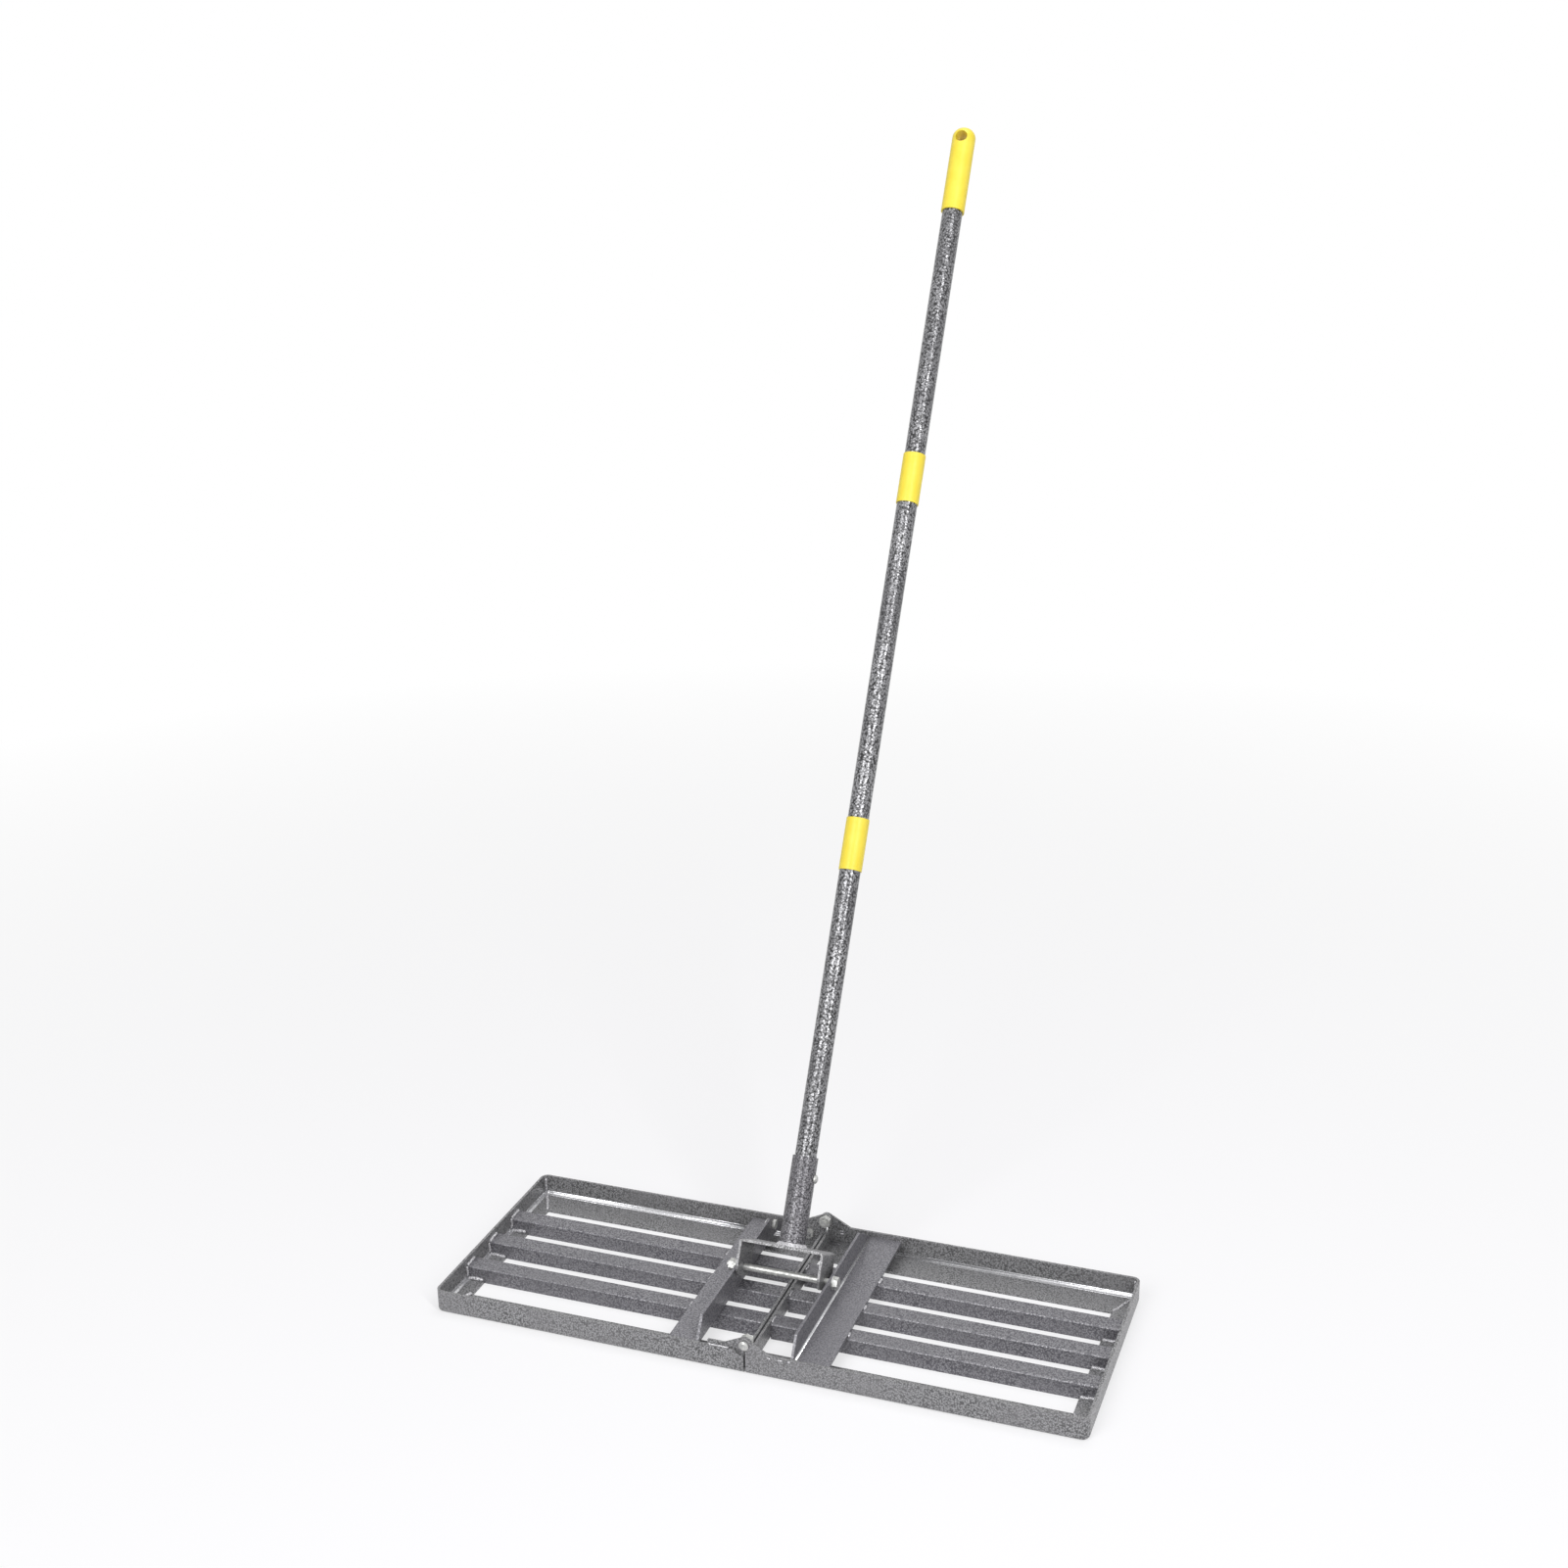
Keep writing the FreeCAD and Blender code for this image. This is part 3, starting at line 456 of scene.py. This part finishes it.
# ---------------------------------------------------------------- sleeves and grip
# Yellow polyethylene mouldings: two sleeves cover the pole's joints, and a closed grip
# with a hanging hole covers its top. The skin is smooth and satin, so the colour stays
# even round the pole.
cloud_mm = 18
skin_mm = 4
polythene, tree = new_finish("moulded_yellow_polyethylene")
place = add(tree, "ShaderNodeTexCoord").outputs["Object"]
cloud = add(tree, "ShaderNodeTexNoise", {
    "Vector": place, "Scale": MM_PER_M / cloud_mm, "Detail": 3.0})
ramp = add(tree, "ShaderNodeValToRGB", {"Fac": cloud.outputs["Fac"]})
ramp.color_ramp.elements[0].position = 0.3
ramp.color_ramp.elements[0].color = linear("#e6cf3a")
ramp.color_ramp.elements[1].position = 0.7
ramp.color_ramp.elements[1].color = linear("#ebd648")
skin = add(tree, "ShaderNodeTexNoise", {
    "Vector": place, "Scale": MM_PER_M / skin_mm, "Detail": 2.0})
dull = add(tree, "ShaderNodeMapRange", {
    "Value": skin.outputs["Fac"], "From Min": 0.3, "From Max": 0.7, "To Min": 0.38,
    "To Max": 0.52})
bump = add(tree, "ShaderNodeBump", {
    "Height": skin.outputs["Fac"], "Strength": 0.08, "Distance": 0.0002})
shader = add(tree, "ShaderNodeBsdfPrincipled", {
    "Base Color": ramp.outputs["Color"], "Roughness": dull.outputs[0],
    "Normal": bump.outputs[0], "IOR": 1.51})
add(tree, "ShaderNodeOutputMaterial", {"Surface": shader.outputs[0]})
coat_nodes(polythene, "lower_sleeve", "upper_sleeve", "grip")

# ---------------------------------------------------------------- studio floor
# A plain white studio floor, wide enough to reach the horizon. The eye and the metal's
# reflections see it near white, and it still takes the tool's soft shadow.
def seen_or_reflected(tree):
    path = add(tree, "ShaderNodeLightPath")
    mirrored = add(tree, "ShaderNodeMath", {
        0: path.outputs["Is Glossy Ray"], 1: path.outputs["Is Transmission Ray"]},
        operation="MAXIMUM")
    return add(tree, "ShaderNodeMath", {
        0: path.outputs["Is Camera Ray"], 1: mirrored.outputs[0]}, operation="MAXIMUM").outputs[0]


FLOOR_RADIUS = 14
ground = bmesh.new()
bmesh.ops.create_circle(ground, cap_ends=True, segments=64, radius=FLOOR_RADIUS)
data = bpy.data.meshes.new("studio_floor")
ground.to_mesh(data)
ground.free()
floor = bpy.data.objects.new("studio_floor", data)
floor.location.z = -0.0002
bpy.context.scene.collection.objects.link(floor)
paper, tree = new_finish("matt_white_floor")
matt = add(tree, "ShaderNodeBsdfDiffuse", {"Color": linear("#ecebef")})
glow = add(tree, "ShaderNodeEmission", {"Color": linear("#ffffff"), "Strength": 1.0})

# Near the tool the floor is mostly matt, for the shadow, and far off it is all glow. The
# glow lights nothing, so it isn't sampled as a lamp.
place = add(tree, "ShaderNodeTexCoord").outputs["Object"]
away = add(tree, "ShaderNodeVectorMath", {0: place}, operation="LENGTH")
fade = add(tree, "ShaderNodeMapRange", {
    "Value": away.outputs["Value"], "From Min": 0.4, "From Max": 2.8, "To Min": 0.6, "To Max": 1.0})
seen = add(tree, "ShaderNodeMath", {0: seen_or_reflected(tree), 1: fade.outputs[0]},
           operation="MULTIPLY")
mix = add(tree, "ShaderNodeMixShader", {0: seen.outputs[0], 1: matt.outputs[0], 2: glow.outputs[0]})
add(tree, "ShaderNodeOutputMaterial", {"Surface": mix.outputs[0]})
paper.cycles.emission_sampling = "NONE"
data.materials.append(paper)

# ---------------------------------------------------------------- studio light
# A large soft box in front to the left, a second above, and a narrow strip to the right
# that draws the bright line down the pole. The walls of the room fill in from all round.
world = bpy.data.worlds.new("studio_room")
world.use_nodes = True
bpy.context.scene.world = world
tree = world.node_tree
tree.nodes.clear()
room = add(tree, "ShaderNodeBackground", {"Color": linear("#f4f4f4"), "Strength": 0.32})
wall = add(tree, "ShaderNodeBackground", {"Color": linear("#ffffff"), "Strength": 1.0})
mix = add(tree, "ShaderNodeMixShader", {
    0: seen_or_reflected(tree), 1: room.outputs[0], 2: wall.outputs[0]})
add(tree, "ShaderNodeOutputWorld", {"Surface": mix.outputs[0]})


def soft_box(name, place, target, size, watts):
    lamp = bpy.data.lights.new(name, "AREA")
    lamp.shape = "RECTANGLE"
    lamp.size, lamp.size_y = size
    lamp.energy = watts
    lamp_object = bpy.data.objects.new(name, lamp)
    lamp_object.location = place
    aim = Vector(target) - Vector(place)
    lamp_object.rotation_euler = aim.to_track_quat("-Z", "Y").to_euler()
    bpy.context.scene.collection.objects.link(lamp_object)


soft_box("front_box", place=(-0.75, -2.5, 2.45), target=(0, 0.2, 0.5), size=(1.5, 2.6), watts=61)
soft_box("top_box", place=(0.3, 0.9, 3.4), target=(0, 0, 0.2), size=(1.8, 1.4), watts=28)
soft_box("right_strip", place=(1.85, -1.5, 2.4), target=(0, 0.35, 0.6), size=(0.14, 2.6), watts=56)

# ---------------------------------------------------------------- camera
# The camera stands in front and to the right, a little below head height, and looks down
# at the whole tool.
lens = bpy.data.cameras.new("studio_camera")
lens.sensor_width = 36
lens.lens = 47.852
camera = bpy.data.objects.new("studio_camera", lens)
camera.location = (0.72388, -1.95752, 1.34096)
camera.rotation_euler = [math.radians(angle) for angle in (71.318, 0.8246, 19.904)]
bpy.context.scene.collection.objects.link(camera)
bpy.context.scene.camera = camera
bpy.context.scene.view_settings.view_transform = "Standard"
